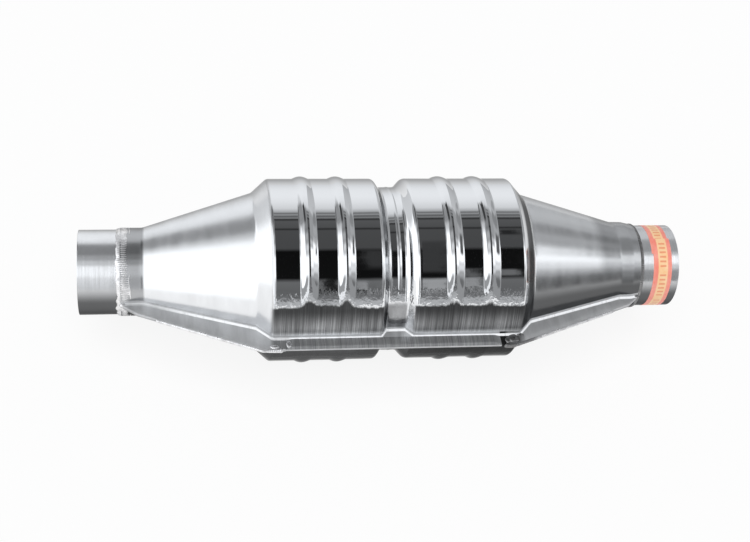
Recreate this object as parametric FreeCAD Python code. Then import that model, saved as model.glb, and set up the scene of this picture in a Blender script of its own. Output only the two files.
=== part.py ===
"""Catalytic converter with two ceramic bricks in a pressed two-piece steel casing.

Two half shells, pressed from sheet, meet on the horizontal plane Z = 0. Each has a half-round neck, cone,
brick chamber, waist groove, second chamber, cone and neck, with a flat flange down both sides. Along the
chambers the lower flange is folded over the upper one, and along the cones the flanges are edge welded.
A pipe stub is welded into each end. Inside are two round honeycomb bricks, each wrapped in a fibre mat
between two knitted wire seals.

The axis of the casing is X, from the inlet (-X) to the outlet (+X), with +Z up. The origin is the middle
of the overall length, on that axis. Sizes are in millimetres.
"""

import FreeCAD
import Part

import math
import os

Vector = FreeCAD.Vector
X_AXIS = Vector(1, 0, 0)
Z_AXIS = Vector(0, 0, 1)

# Overall and pipe sizes
overall_length = 432.0
pipe_outer_diameter = 60.0
pipe_wall = 1.5
inlet_stub_exposed = 29.0
outlet_stub_exposed = 29.0
stub_insertion = 12.0
stub_sizing = 0.5
stub_sizing_run = 1.5
stub_sizing_clearance = 0.4
neck_clearance = 0.2

# Casing
sheet = 1.5
brick_diameter = 118.4
brick_length = 76.2
mat_gap = 4.8
waist_offset = 3.2
groove_top_width = 22.2
groove_floor_width = 11.6
groove_depth = 6.2
inlet_shoulder_run = 11.0
inlet_shoulder_drop = 10.0
outlet_shoulder_run = 10.0
outlet_shoulder_drop = 11.3
inlet_neck_length = 15.0
outlet_neck_length = 18.0
outlet_neck_taper = 1.6

# Bend radii of the pressing, on its outer face
chamber_end_radius = 3.5
groove_lip_radius = 3.0
groove_root_radius = 3.0
shoulder_root_radius = 5.0
neck_root_radius = 22.0
flange_root_radius = 1.8

# Pressed ribs round each half chamber
rib_width = 11.0
rib_height = 1.9
rib_spacing = 25.6
inlet_rib_shift = -1.6
outlet_rib_shift = 1.5
rib_half_angle = 57.0

# Flange, as its width beyond the shell wall
flange_at_chamber = 10.0
flange_at_inlet_shoulder = 18.3
flange_at_outlet_shoulder = 15.4
flange_at_inlet_neck = 9.6
flange_at_outlet_neck = 9.0
flange_at_neck_end = 1.2
flange_inlet_neck_run = 11.0
flange_outlet_neck_run = 9.0
flange_corner_radius = 5.0

# Fold of the lower flange over the upper one
fold_start_margin = 8.5
fold_end_margin = 14.5
fold_ramp = 4.6
fold_setback = 0.4
fold_edge_clearance = 0.15
fold_bulge = 0.5

# Bricks, mats and seals
brick_skin = 1.0
brick_cell_pitch = 10.0
brick_cell_wall = 1.4
seal_width = 5.0
seal_corner_radius = 1.6
seal_end_margin = 1.6
seal_to_mat_gap = 0.3
mat_joint_gap = 0.8
mat_tongue_width = 16.0

# Welds
inlet_weld_leg = 3.0
inlet_weld_lap = 2.6
inlet_weld_crown = 1.7
outlet_weld_leg = 2.2
outlet_weld_lap = 1.0
outlet_weld_crown = 0.3
seam_weld_radius = 1.35
corner_weld_radius = 1.9
seam_weld_end_margin = 14.0
corner_weld_margin = 1.6

# Paper label round the outlet stub
label_thickness = 0.11
label_width = 13.8
label_end_margin = 6.6
label_lap_angle = 24.0
label_lap_shift = 1.1
label_lap_start = 93.0

# Worked-out sizes
half_length = overall_length / 2
pipe_radius = pipe_outer_diameter / 2
pipe_bore_radius = pipe_radius - pipe_wall
sized_radius = pipe_radius - stub_sizing
neck_radius = sized_radius + neck_clearance + sheet
brick_radius = brick_diameter / 2
casing_bore_radius = brick_radius + mat_gap
chamber_radius = casing_bore_radius + sheet
inlet_cone_radius = chamber_radius - inlet_shoulder_drop
outlet_cone_radius = chamber_radius - outlet_shoulder_drop
outlet_neck_start_radius = neck_radius + outlet_neck_taper
groove_radius = chamber_radius - groove_depth

inlet_neck_end = -half_length + inlet_stub_exposed
outlet_neck_end = half_length - outlet_stub_exposed
inlet_cone_start = inlet_neck_end + inlet_neck_length
outlet_cone_end = outlet_neck_end - outlet_neck_length
inlet_chamber = (waist_offset - groove_top_width / 2 - brick_length, waist_offset - groove_top_width / 2)
outlet_chamber = (waist_offset + groove_top_width / 2, waist_offset + groove_top_width / 2 + brick_length)
inlet_shoulder = inlet_chamber[0] - inlet_shoulder_run
outlet_shoulder = outlet_chamber[1] + outlet_shoulder_run
fold_start = inlet_chamber[0] + fold_start_margin
fold_end = outlet_chamber[1] - fold_end_margin

chamber_flange_edge = chamber_radius + flange_at_chamber
fold_bend_inner = sheet / 2
fold_bend_outer = fold_bend_inner + sheet
fold_bend_line = chamber_flange_edge + fold_bulge - fold_bend_outer

REACH = 3 * half_length


def corner_arc(before, corner, after, radius):
    """The tangent points and middle point of an arc that rounds a corner of a plane outline."""
    back = (before - corner).normalize()
    on = (after - corner).normalize()
    half_turn = back.getAngle(on) / 2
    run = radius / math.tan(half_turn)
    towards_centre = (back + on).normalize()
    centre = corner + towards_centre * (radius / math.sin(half_turn))
    return corner + back * run, centre - towards_centre * radius, corner + on * run


def rounded_edges(points, radii, closed=False):
    """Straight edges through the points, with an arc of the given radius at each one that has a radius."""
    count = len(points)
    spans = []
    for i, (point, radius) in enumerate(zip(points, radii)):
        at_end = not closed and i in (0, count - 1)
        if radius <= 0 or at_end:
            spans.append((point, None, point))
        else:
            spans.append(corner_arc(points[i - 1], point, points[(i + 1) % count], radius))
    edges = []
    for i, (enter, middle, leave) in enumerate(spans):
        if middle is not None:
            edges.append(Part.Arc(enter, middle, leave).toShape())
        if i + 1 < count or closed:
            following = spans[(i + 1) % count][0]
            if leave.distanceToPoint(following) > 1e-6:
                edges.append(Part.LineSegment(leave, following).toShape())
    return edges


def rounded_face(points, radii):
    """A plane face with rounded corners."""
    return Part.Face(Part.Wire(rounded_edges(points, radii, closed=True)))


def box(low, high):
    """A box between two corners."""
    size = [b - a for a, b in zip(low, high)]
    return Part.makeBox(*size, Vector(*low))


def turned(points, radii, angle):
    """The solid turned about X, from +Y up, from a rounded outline of (x, radius) pairs."""
    path = [Vector(x, r, 0) for x, r in points]
    edges = rounded_edges(path, radii)
    first, last = path[0], path[-1]
    on_axis_first = Vector(first.x, 0, 0)
    on_axis_last = Vector(last.x, 0, 0)
    edges.append(Part.LineSegment(last, on_axis_last).toShape())
    edges.append(Part.LineSegment(on_axis_last, on_axis_first).toShape())
    edges.append(Part.LineSegment(on_axis_first, first).toShape())
    return Part.Face(Part.Wire(edges)).revolve(Vector(0, 0, 0), X_AXIS, angle)


def ring(x_start, x_end, inner, outer):
    """A plain ring about X."""
    tube = Part.makeCylinder(outer, x_end - x_start, Vector(x_start, 0, 0), X_AXIS)
    hole = Part.makeCylinder(inner, x_end - x_start, Vector(x_start, 0, 0), X_AXIS)
    return tube.cut(hole)


def casing_stations():
    """The corners of the casing's outer face from the inlet to the outlet.

    Each row is the corner's x and radius, the radius of its bend, and the side of the bend that the outer
    face is on: 1 for the outside and -1 for the inside.
    """
    left_floor = waist_offset - groove_floor_width / 2
    right_floor = waist_offset + groove_floor_width / 2
    return [
        (inlet_neck_end, neck_radius, 0.0, 1),
        (inlet_cone_start, neck_radius, neck_root_radius, -1),
        (inlet_shoulder, inlet_cone_radius, shoulder_root_radius, -1),
        (inlet_chamber[0], chamber_radius, chamber_end_radius, 1),
        (inlet_chamber[1], chamber_radius, groove_lip_radius, 1),
        (left_floor, groove_radius, groove_root_radius, -1),
        (right_floor, groove_radius, groove_root_radius, -1),
        (outlet_chamber[0], chamber_radius, groove_lip_radius, 1),
        (outlet_chamber[1], chamber_radius, chamber_end_radius, 1),
        (outlet_shoulder, outlet_cone_radius, shoulder_root_radius, -1),
        (outlet_cone_end, outlet_neck_start_radius, neck_root_radius, -1),
        (outlet_neck_end, neck_radius, 0.0, 1),
    ]


def offset_stations(distance):
    """The casing's corners and bend radii moved out by a distance along the normal of its outer face."""
    rows = casing_stations()
    points = [Vector(x, r, 0) for x, r, _, _ in rows]
    moved = []
    for i, point in enumerate(points):
        before = points[i - 1] if i > 0 else point - X_AXIS
        after = points[i + 1] if i + 1 < len(points) else point + X_AXIS
        normal_in = Z_AXIS.cross((point - before).normalize())
        normal_out = Z_AXIS.cross((after - point).normalize())
        mitre = (normal_in + normal_out).normalize()
        moved.append(point + mitre * (distance / mitre.dot(normal_in)))
    radii = [max(radius + sign * distance, 0.0) if radius else 0.0 for _, _, radius, sign in rows]
    return [(p.x, p.y) for p in moved], radii


def casing_body():
    """The upper half of the solid that the casing's outer face holds."""
    points, radii = offset_stations(0.0)
    return turned(points, radii, 180.0)


def casing_cavity():
    """The solid that the casing's inner face holds, all round and running past both ends."""
    points, radii = offset_stations(-sheet)
    first, last = points[0], points[-1]
    points = [(first[0] - sheet, first[1])] + points[1:-1] + [(last[0] + sheet, last[1])]
    return turned(points, radii, 360.0)


def rib_places():
    """The X of each rib's middle."""
    places = []
    for chamber, shift in ((inlet_chamber, inlet_rib_shift), (outlet_chamber, outlet_rib_shift)):
        middle = sum(chamber) / 2 + shift
        places += [middle - rib_spacing / 2, middle + rib_spacing / 2]
    return places


def rib(x, distance):
    """One rib with round ends, over the crown of the upper half. Distance moves its face in or out."""
    bulge = (rib_width**2 / 4 + rib_height**2) / (2 * rib_height)
    ring_radius = chamber_radius + rib_height - bulge
    section = bulge + distance
    circle = Part.makeCircle(section, Vector(x, ring_radius, 0), Z_AXIS)
    disc = Part.Face(Part.Wire(circle))
    bar = disc.revolve(Vector(x, 0, 0), X_AXIS, 2 * rib_half_angle)
    bar.rotate(Vector(x, 0, 0), X_AXIS, 90.0 - rib_half_angle)
    ends = []
    for side in (-1, 1):
        angle = math.radians(90.0 + side * rib_half_angle)
        centre = Vector(x, ring_radius * math.cos(angle), ring_radius * math.sin(angle))
        ends.append(Part.makeSphere(section, centre))
    return bar.fuse(ends)


def flange_outline():
    """Half of the flange's plan, as (x, y) corners on the +Y side with their radii."""
    inlet_run = (inlet_neck_end, inlet_neck_end + flange_inlet_neck_run)
    outlet_run = (outlet_neck_end - flange_outlet_neck_run, outlet_neck_end)
    edge = chamber_flange_edge
    inlet_outer = (inlet_cone_radius + flange_at_inlet_shoulder, neck_radius + flange_at_inlet_neck)
    outlet_outer = (outlet_cone_radius + flange_at_outlet_shoulder, neck_radius + flange_at_outlet_neck)
    inlet_slope = (inlet_outer[0] - inlet_outer[1]) / (inlet_shoulder - inlet_run[1])
    outlet_slope = (outlet_outer[0] - outlet_outer[1]) / (outlet_run[0] - outlet_shoulder)
    inlet_corner = inlet_shoulder + (edge - inlet_outer[0]) / inlet_slope
    outlet_corner = outlet_shoulder - (edge - outlet_outer[0]) / outlet_slope
    return [
        (inlet_run[0], neck_radius + flange_at_neck_end, 0.0),
        (inlet_run[1], inlet_outer[1], flange_corner_radius),
        (inlet_corner, edge, flange_corner_radius),
        (outlet_corner, edge, flange_corner_radius),
        (outlet_run[0], outlet_outer[1], flange_corner_radius),
        (outlet_run[1], neck_radius + flange_at_neck_end, 0.0),
    ]


def flange_face():
    """The flange's full plan on both sides, at Z = 0."""
    half = flange_outline()
    mirrored = [(x, -y, r) for x, y, r in reversed(half)]
    corners = half + mirrored
    return rounded_face([Vector(x, y, 0) for x, y, _ in corners], [r for _, _, r in corners])


def pressed_half():
    """One half shell as pressed, with Z up from the joint plane: its form, ribs and flat flange."""
    flange = flange_face().extrude(Vector(0, 0, sheet))
    outer = casing_body().fuse([rib(x, 0.0) for x in rib_places()] + [flange]).removeSplitter()
    outer = outer.makeFillet(flange_root_radius, flange_root_edges(outer))
    inner = casing_cavity().fuse([rib(x, -sheet) for x in rib_places()])
    below = box((-REACH, -REACH, -REACH), (REACH, REACH, 0))
    return outer.cut(inner).cut(below)


def flange_root_edges(solid):
    """The edges where the flange's top face meets the wall of the pressing."""
    found = []
    for edge in solid.Edges:
        middle = edge.valueAt((edge.FirstParameter + edge.LastParameter) / 2)
        heights = [vertex.Z for vertex in edge.Vertexes] + [middle.z]
        at_flange_top = all(abs(z - sheet) < 1e-4 for z in heights)
        at_wall = abs(middle.y) < root_reach(middle.x)
        if at_flange_top and at_wall and inlet_neck_end < middle.x < outlet_neck_end:
            found.append(edge)
    return found


def root_reach(x):
    """A half width that lies between the shell wall and the flange's edge at x."""
    rows = casing_stations()
    for (x0, r0, _, _), (x1, r1, _, _) in zip(rows, rows[1:]):
        if x0 <= x <= x1:
            return r0 + (r1 - r0) * (x - x0) / (x1 - x0) + flange_at_neck_end
    return neck_radius


def upper_shell():
    """The upper pressing, its flange trimmed where the lower one is folded over it."""
    shell = pressed_half()
    trim = fold_bend_line - fold_edge_clearance
    for side in (-1, 1):
        low, high = sorted((side * trim, side * REACH))
        shell = shell.cut(box((fold_start, low, 0), (fold_end, high, REACH)))
    return shell


def fold_over(side):
    """The part of the lower flange that is folded up and over the upper one, on one side."""
    bend = ring(fold_start, fold_end, fold_bend_inner, fold_bend_outer)
    bend.translate(Vector(0, side * fold_bend_line, sheet / 2))
    low, high = sorted((side * fold_bend_line, side * REACH))
    bend = bend.common(box((-REACH, low, -REACH), (REACH, high, REACH)))
    inner_edge = chamber_radius + flange_root_radius + fold_setback
    low, high = sorted((side * inner_edge, side * fold_bend_line))
    layer = box((fold_start, low, sheet), (fold_end, high, 2 * sheet))
    folded = bend.fuse(layer)
    for x, way in ((fold_start, 1), (fold_end, -1)):
        folded = folded.cut(ramp_cutter(x, way))
    return folded


def ramp_cutter(x, way):
    """The wedge that is taken off the top of the fold at one of its ends."""
    corners = [
        Vector(x - way * sheet, 0, sheet),
        Vector(x, 0, sheet),
        Vector(x + way * fold_ramp, 0, 2 * sheet),
        Vector(x + way * fold_ramp, 0, 3 * sheet),
        Vector(x - way * sheet, 0, 3 * sheet),
    ]
    face = Part.Face(Part.makePolygon(corners + corners[:1]))
    wedge = face.extrude(Vector(0, 2 * REACH, 0))
    wedge.translate(Vector(0, -REACH, 0))
    return wedge


def lower_shell():
    """The lower pressing, with its flange folded over the upper one along the chambers."""
    shell = pressed_half().mirror(Vector(0, 0, 0), Z_AXIS)
    for side in (-1, 1):
        low, high = sorted((side * fold_bend_line, side * REACH))
        shell = shell.cut(box((fold_start, low, -sheet), (fold_end, high, 0)))
        shell = shell.fuse(fold_over(side))
    return shell.removeSplitter()


def pipe_stub(end_x, neck_end, way, weld_leg):
    """A pipe stub whose inner end is sized down to slip into the neck. Way is +1 for the inlet."""
    sizing_end = neck_end - way * (weld_leg + stub_sizing_clearance)
    sizing_start = sizing_end - way * stub_sizing_run
    inner_end = neck_end + way * stub_insertion
    outline = [
        (end_x, pipe_bore_radius),
        (end_x, pipe_radius),
        (sizing_start, pipe_radius),
        (sizing_end, sized_radius),
        (inner_end, sized_radius),
        (inner_end, sized_radius - pipe_wall),
        (sizing_end, sized_radius - pipe_wall),
        (sizing_start, pipe_bore_radius),
    ]
    corners = [Vector(x, r, 0) for x, r in outline]
    face = Part.Face(Part.makePolygon(corners + corners[:1]))
    return face.revolve(Vector(0, 0, 0), X_AXIS, 360)


def pipe_weld(neck_end, way, leg, lap_run, crown, shells):
    """The weld bead between a stub and the end of the neck, shaped to the two shells that it joins."""
    toe = Vector(neck_end - way * leg, sized_radius, 0)
    heel = Vector(neck_end, sized_radius, 0)
    lip = Vector(neck_end, neck_radius, 0)
    lap = Vector(neck_end + way * lap_run, neck_radius, 0)
    top = Vector(neck_end - way * (leg - lap_run) / 2, neck_radius + crown, 0)
    edges = [
        Part.LineSegment(toe, heel).toShape(),
        Part.LineSegment(heel, lip).toShape(),
        Part.LineSegment(lip, lap).toShape(),
        Part.Arc(lap, top, toe).toShape(),
    ]
    bead = Part.Face(Part.Wire(edges)).revolve(Vector(0, 0, 0), X_AXIS, 360)
    return bead.cut(shells)


def seam_weld(side, inlet, shells):
    """The bead that joins the two flanges' edges from the fold's end, round the corner and down the cone."""
    rows = [Vector(x, side * y, 0) for x, y, _ in flange_outline()]
    if inlet:
        corner, neck_corner, fold_x, way = rows[2], rows[1], fold_start, 1
    else:
        corner, neck_corner, fold_x, way = rows[3], rows[4], fold_end, -1
    down_cone = (neck_corner - corner).normalize()
    first = Vector(fold_x - way * corner_weld_margin, corner.y, 0)
    last = neck_corner - down_cone * seam_weld_end_margin
    path = rounded_edges([first, corner, last], [0.0, flange_corner_radius, 0.0])
    bead = bead_along(path, seam_weld_radius).fuse([bead_along(path[:1], corner_weld_radius)])
    return bead.cut(shells)


def bead_along(edges, radius):
    """A round bar with round ends along the edges, which run on from one another without a break."""
    path = Part.Wire(edges)
    first, last = path.OrderedVertexes[0].Point, path.OrderedVertexes[-1].Point
    section = Part.Wire(Part.makeCircle(radius, first, edges[0].tangentAt(edges[0].FirstParameter)))
    bar = path.makePipeShell([section], True, False)
    return bar.fuse([Part.makeSphere(radius, first), Part.makeSphere(radius, last)])


def brick(chamber):
    """A round honeycomb brick with square channels from face to face."""
    disc = Part.Face(Part.Wire(Part.makeCircle(brick_radius, Vector(chamber[0], 0, 0), X_AXIS)))
    core = Part.Face(Part.Wire(Part.makeCircle(brick_radius - brick_skin, Vector(chamber[0], 0, 0), X_AXIS)))
    cell = brick_cell_pitch - brick_cell_wall
    reach = int(brick_radius / brick_cell_pitch) + 1
    cells = []
    for row in range(-reach, reach + 1):
        for column in range(-reach, reach + 1):
            y, z = row * brick_cell_pitch, column * brick_cell_pitch
            nearest = math.hypot(max(abs(y) - cell / 2, 0), max(abs(z) - cell / 2, 0))
            if nearest > brick_radius - brick_skin - cell / 2:
                continue
            corners = [
                Vector(chamber[0], y + a * cell / 2, z + b * cell / 2)
                for a, b in ((-1, -1), (1, -1), (1, 1), (-1, 1))
            ]
            cells.append(Part.Face(Part.makePolygon(corners + corners[:1])))
    channels = core.common(Part.makeCompound(cells))
    return disc.cut(channels).extrude(Vector(brick_length, 0, 0))


def seal_starts(chamber):
    """The X where each of a chamber's two wire seals starts."""
    first = chamber[0] + seal_end_margin
    second = chamber[1] - seal_end_margin - seal_width
    return first, second


def wire_seal(start):
    """A knitted wire ring that guards one edge of a mat from the gas."""
    corners = [
        Vector(start, brick_radius, 0),
        Vector(start + seal_width, brick_radius, 0),
        Vector(start + seal_width, casing_bore_radius, 0),
        Vector(start, casing_bore_radius, 0),
    ]
    face = rounded_face(corners, [seal_corner_radius] * len(corners))
    return face.revolve(Vector(0, 0, 0), X_AXIS, 360)


def mat(chamber):
    """The fibre mat round a brick, with a stepped joint where its two ends meet underneath."""
    first_seal, second_seal = seal_starts(chamber)
    start = first_seal + seal_width + seal_to_mat_gap
    end = second_seal - seal_to_mat_gap
    wrap = ring(start, end, brick_radius, casing_bore_radius)
    third = (end - start) / 3
    near, far = mat_tongue_width / 2, -mat_tongue_width / 2
    low, high = -casing_bore_radius - sheet, -brick_radius / 2
    half_gap = mat_joint_gap / 2
    slots = [
        box((start - sheet, near - half_gap, low), (start + third, near + half_gap, high)),
        box((start + third, far - half_gap, low), (end - third, far + half_gap, high)),
        box((end - third, near - half_gap, low), (end + sheet, near + half_gap, high)),
    ]
    for x in (start + third, end - third):
        slots.append(box((x - half_gap, far - half_gap, low), (x + half_gap, near + half_gap, high)))
    return wrap.cut(slots[0].fuse(slots[1:]))


def label():
    """A paper strip round the outlet stub. Its last part laps over its start, a little out of line."""
    end = half_length - label_end_margin
    start = end - label_width
    strip = ring(start, end, pipe_radius, pipe_radius + label_thickness)
    lap_start = start + label_lap_shift
    lap = sector_ring(lap_start, lap_start + label_width, pipe_radius + label_thickness)
    return strip.fuse(lap)


def sector_ring(start, end, inner):
    """The lapped end of the label, as a short arc of a ring."""
    corners = [
        Vector(start, inner, 0),
        Vector(end, inner, 0),
        Vector(end, inner + label_thickness, 0),
        Vector(start, inner + label_thickness, 0),
    ]
    face = Part.Face(Part.makePolygon(corners + corners[:1]))
    face.rotate(Vector(0, 0, 0), X_AXIS, label_lap_start)
    return face.revolve(Vector(0, 0, 0), X_AXIS, label_lap_angle)


def make_parts():
    """Every sub-part, by name."""
    upper, lower = upper_shell(), lower_shell()
    parts = {
        "upper_shell": upper,
        "lower_shell": lower,
        "inlet_pipe": pipe_stub(-half_length, inlet_neck_end, 1, inlet_weld_leg),
        "outlet_pipe": pipe_stub(half_length, outlet_neck_end, -1, outlet_weld_leg),
        "inlet_pipe_weld": pipe_weld(
            inlet_neck_end, 1, inlet_weld_leg, inlet_weld_lap, inlet_weld_crown, [upper, lower]
        ),
        "outlet_pipe_weld": pipe_weld(
            outlet_neck_end, -1, outlet_weld_leg, outlet_weld_lap, outlet_weld_crown, [upper, lower]
        ),
        "outlet_label": label(),
    }
    for place, chamber in (("inlet", inlet_chamber), ("outlet", outlet_chamber)):
        parts[place + "_brick"] = brick(chamber)
        parts[place + "_mat"] = mat(chamber)
        for end, start in zip(("front", "rear"), seal_starts(chamber)):
            parts[place + "_brick_" + end + "_seal"] = wire_seal(start)
        for name, side in (("near", -1), ("far", 1)):
            parts[name + "_" + place + "_seam_weld"] = seam_weld(side, place == "inlet", [upper, lower])
    return parts


def main():
    os.makedirs("parts", exist_ok=True)
    for name, shape in make_parts().items():
        shape.exportStep(os.path.join("parts", name + ".step"))
        print(name, len(shape.Solids), "solids", "valid" if shape.isValid() else "NOT VALID",
              round(shape.Volume / 1000, 2), "cm3")


main()
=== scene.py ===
"""The looks of the catalytic converter, in the same frame as its solids.

Sizes are in millimetres, and each mesh is scaled to metres when it is made. X runs from the inlet to the
outlet along the casing's axis, +Z is up through the crown, and Z = 0 is the joint of the two half shells.
"""
import math
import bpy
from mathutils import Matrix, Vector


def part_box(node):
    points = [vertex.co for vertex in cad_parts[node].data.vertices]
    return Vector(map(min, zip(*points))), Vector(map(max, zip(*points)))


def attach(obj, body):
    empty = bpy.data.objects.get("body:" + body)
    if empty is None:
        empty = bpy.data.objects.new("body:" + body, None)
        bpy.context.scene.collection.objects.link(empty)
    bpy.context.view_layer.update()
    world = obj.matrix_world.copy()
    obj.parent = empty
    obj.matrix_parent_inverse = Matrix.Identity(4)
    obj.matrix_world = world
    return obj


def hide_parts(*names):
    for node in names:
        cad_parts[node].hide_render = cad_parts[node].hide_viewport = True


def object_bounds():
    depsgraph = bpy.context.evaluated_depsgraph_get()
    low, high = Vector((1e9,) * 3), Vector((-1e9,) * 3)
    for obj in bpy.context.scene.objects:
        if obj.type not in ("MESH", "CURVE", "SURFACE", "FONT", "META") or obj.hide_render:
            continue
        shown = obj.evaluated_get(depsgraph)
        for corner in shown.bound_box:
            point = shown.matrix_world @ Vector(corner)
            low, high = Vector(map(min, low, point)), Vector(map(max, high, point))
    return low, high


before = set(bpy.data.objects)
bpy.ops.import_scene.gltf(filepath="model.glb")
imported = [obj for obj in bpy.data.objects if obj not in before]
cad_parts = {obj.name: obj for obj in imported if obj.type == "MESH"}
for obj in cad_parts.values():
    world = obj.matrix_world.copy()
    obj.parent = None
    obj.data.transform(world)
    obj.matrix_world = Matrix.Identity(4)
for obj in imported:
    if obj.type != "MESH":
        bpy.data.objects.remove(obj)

from types import SimpleNamespace

import bmesh
import bpy
import numpy as np
from mathutils import Matrix, Vector, noise

cad_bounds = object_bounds()

MM = 0.001
ROOT = "root"


def node_box(name):
    """The lowest and highest corner of a solid, in millimetres."""
    low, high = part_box(name)
    return low / MM, high / MM


# Sizes read from the solids
shell_low, shell_high = node_box("upper_shell")
neck_start, neck_end = shell_low.x, shell_high.x
half_length = node_box("outlet_pipe")[1].x
pipe_radius = node_box("outlet_pipe")[1].z
fold_edge = node_box("lower_shell")[1].y
brick_boxes = {name: node_box(name) for name in ("inlet_brick", "outlet_brick")}

# Casing, with the outer face of the pressing as the reference
sheet = 1.5
neck_radius = 31.2
outlet_neck_taper = 1.6
inlet_cone_radius = 55.5
outlet_cone_radius = 54.2
chamber_radius = 65.5
groove_radius = 59.3
inlet_neck_length = 15
outlet_neck_length = 15.5
inlet_shoulder_run = 11
outlet_shoulder_run = 10
groove_middle = 3.2
groove_top_width = 22.2
groove_near_wall = (-8.6, -4.4)
groove_far_wall = (8.7, 14.4)
groove_near_radius = 3.4
groove_far_radius = 4.8
chamber_length = 76.2
neck_root_radii = (9, 6)
# Step in the outlet neck: its distance from the neck's end, and how far it stands out
outlet_neck_step = (6.5, 1.4)
shoulder_root_radii = (5, 3)
chamber_end_radii = (3.5, 2)

inlet_chamber_end = groove_middle - groove_top_width / 2
outlet_chamber_start = groove_middle + groove_top_width / 2
inlet_chamber_start = inlet_chamber_end - chamber_length
outlet_chamber_end = outlet_chamber_start + chamber_length
inlet_shoulder = inlet_chamber_start - inlet_shoulder_run
outlet_shoulder = outlet_chamber_end + outlet_shoulder_run

# Ribs
rib_width = 11.9
rib_height = 1.68
rib_sharpness = 1.25
rib_fade_start = 22
rib_fade_end = 46
rib_spacing = 25.6
rib_shifts = (-1.2, 1.2)
# Low ridge in the waist groove: its middle, width and height
groove_ridge = (2.9, 3.2, 0.22)

# Flange and its fold
root_fillet = 1.8
least_fillet = 0.15
least_flat = 0.1
edge_round = 0.35
neck_end_flange = 1.2
inlet_neck_flange, outlet_neck_flange = 9.6, 9
inlet_flange_run, outlet_flange_run = 11, 9
inlet_cone_flange, outlet_cone_flange = 18.3, 15.4
chamber_flange_edge = 75.5
flange_corner_radius = 5
fold_start = inlet_chamber_start + 8.5
fold_end = outlet_chamber_end - 14.5
fold_ramp = 4.6
fold_layer_edge = chamber_radius + root_fillet + 0.4
fold_bend_outer = 1.5 * sheet
fold_clearance = 0.15

# Unevenness of the pressed sheet: how long its waves are, and how far they stand out
broad_wave_size, broad_wave = 26, 0.07
fine_wave_size, fine_wave = 9, 0.012
crumple_wave = 0.03
chamber_wave = 0.1
shell_seeds = {"upper": (1, 5), "lower": (11, 15)}

# Fineness of the meshes
BEND_STEP = math.radians(6)
FOLD_STEP = 0.02
FOLD_SHARES = (0.15, 0.3, 0.5, 0.7, 0.85, 1)
RIB_STEP = 0.45
RIB_MARGIN = 1.5
BODY_STEP = 1.3
CONE_STEP = 2
STEP_SLACK = 1.4
LEAST_STEP = 0.005
WALL_STEPS = 40
FILLET_STEPS = 5
CROWN_STEPS = 8
MERGE_DISTANCE = 0.002

Z_UP = np.array([0, 0, 1])
OTHER_SIDE = np.array([1, -1, 1])


def unit(v):
    """The vector v at a length of 1."""
    return v / np.linalg.norm(v)


def smooth(low, high, value):
    """A share that goes softly from 0 to 1 as the value goes from low to high."""
    share = np.clip((value - low) / (high - low), 0, 1)
    return share * share * (3 - 2 * share)


def rounded_line(corners, radii):
    """Points along a plane line through the corners, with an arc of the given radius at each inner one."""
    corners = [np.array(c, float) for c in corners]
    line = [corners[0]]
    for before, corner, after, radius in zip(corners, corners[1:], corners[2:], radii[1:-1]):
        back, on = unit(before - corner), unit(after - corner)
        half_inside = math.acos(float(np.clip(back @ on, -1, 1))) / 2
        centre = corner + unit(back + on) * radius / math.sin(half_inside)
        start = corner + back * radius / math.tan(half_inside) - centre
        turn = math.pi - 2 * half_inside
        side = math.copysign(1, on[0] * back[1] - on[1] * back[0])
        steps = max(3, math.ceil(turn / BEND_STEP))
        for angle in np.linspace(0, side * turn, steps + 1):
            c, s = math.cos(angle), math.sin(angle)
            line.append(centre + [start[0] * c - start[1] * s, start[0] * s + start[1] * c])
    line.append(corners[-1])
    return np.array(line)


def casing_corners():
    """The corners of the casing's outer profile, as (x, radius, radius of the bend there)."""
    return [
        (neck_start, neck_radius, 0),
        (neck_start + inlet_neck_length, neck_radius, neck_root_radii[0]),
        (inlet_shoulder, inlet_cone_radius, shoulder_root_radii[0]),
        (inlet_chamber_start, chamber_radius, chamber_end_radii[0]),
        (groove_near_wall[0], chamber_radius, groove_near_radius),
        (groove_near_wall[1], groove_radius, groove_near_radius),
        (groove_far_wall[0], groove_radius, groove_far_radius),
        (groove_far_wall[1], chamber_radius, groove_far_radius),
        (outlet_chamber_end, chamber_radius, chamber_end_radii[1]),
        (outlet_shoulder, outlet_cone_radius, shoulder_root_radii[1]),
        (neck_end - outlet_neck_length, neck_radius + outlet_neck_taper, neck_root_radii[1]),
        (neck_end - outlet_neck_step[0], neck_radius + outlet_neck_step[1], neck_root_radii[1]),
        (neck_end, neck_radius, 0),
    ]


def casing_line():
    """The casing's outer profile as (x, radius) points."""
    rows = casing_corners()
    return rounded_line([row[:2] for row in rows], [row[2] for row in rows])


def flange_corners():
    """The corners of the flange's edge on the +Y side, as (x, y)."""
    inlet_y, outlet_y = neck_radius + inlet_neck_flange, neck_radius + outlet_neck_flange
    start, end = neck_start + inlet_flange_run, neck_end - outlet_flange_run
    inlet_slope = (inlet_cone_radius + inlet_cone_flange - inlet_y) / (inlet_shoulder - start)
    outlet_slope = (outlet_cone_radius + outlet_cone_flange - outlet_y) / (end - outlet_shoulder)
    return [
        (neck_start, neck_radius + neck_end_flange),
        (start, inlet_y),
        (start + (chamber_flange_edge - inlet_y) / inlet_slope, chamber_flange_edge),
        (end - (chamber_flange_edge - outlet_y) / outlet_slope, chamber_flange_edge),
        (end, outlet_y),
        (neck_end, neck_radius + neck_end_flange),
    ]


def flange_edge(xs):
    """How far the flange's edge reaches along Y at each x."""
    corners = flange_corners()
    line = rounded_line(corners, [flange_corner_radius] * len(corners))
    return np.interp(xs, line[:, 0], line[:, 1])


def rib_places():
    """The X of each rib's middle."""
    places = []
    for start, shift in zip((inlet_chamber_start, outlet_chamber_start), rib_shifts):
        middle = start + chamber_length / 2 + shift
        places += [middle - rib_spacing / 2, middle + rib_spacing / 2]
    return places


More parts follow.
